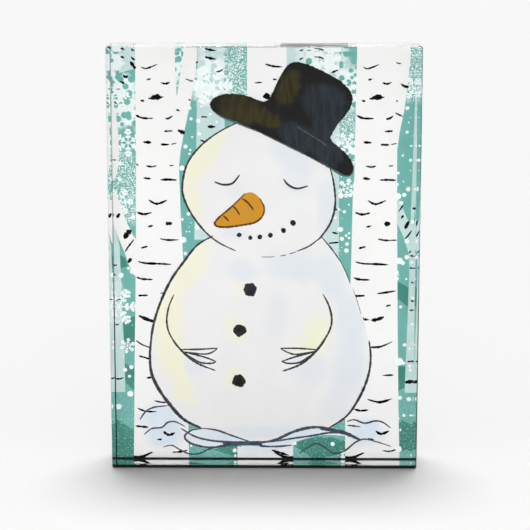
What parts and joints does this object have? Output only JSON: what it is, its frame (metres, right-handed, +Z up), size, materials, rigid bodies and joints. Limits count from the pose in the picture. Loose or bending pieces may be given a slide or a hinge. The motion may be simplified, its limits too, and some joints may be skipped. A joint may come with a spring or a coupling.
{
  "type": "acrylic photo block",
  "caption": "Free-standing clear acrylic block with a bevelled front, showing a winter picture printed on its back face under a dark protective film.",
  "frame": {"origin": "on the surface the block stands on, below the middle of its bounding box", "axes": "+Z up; +X to the viewer's right; the picture is looked at from the -Y side, and the printed back face and its film are on the +Y side"},
  "size_m": [0.129, 0.0228, 0.178],
  "materials": {
    "clear_acrylic": "clear cast acrylic, polished on every face",
    "picture_ink": "full-colour cured ink, seen glossy through the acrylic",
    "white_ink": "opaque white cured ink",
    "back_film": "satin black self-adhesive film with a fine grain"
  },
  "bodies": {
    "root": {"acrylic_block": "clear_acrylic", "picture_ink": "picture_ink", "white_ink": "white_ink", "back_film": "back_film"}
  },
  "joints": []
}
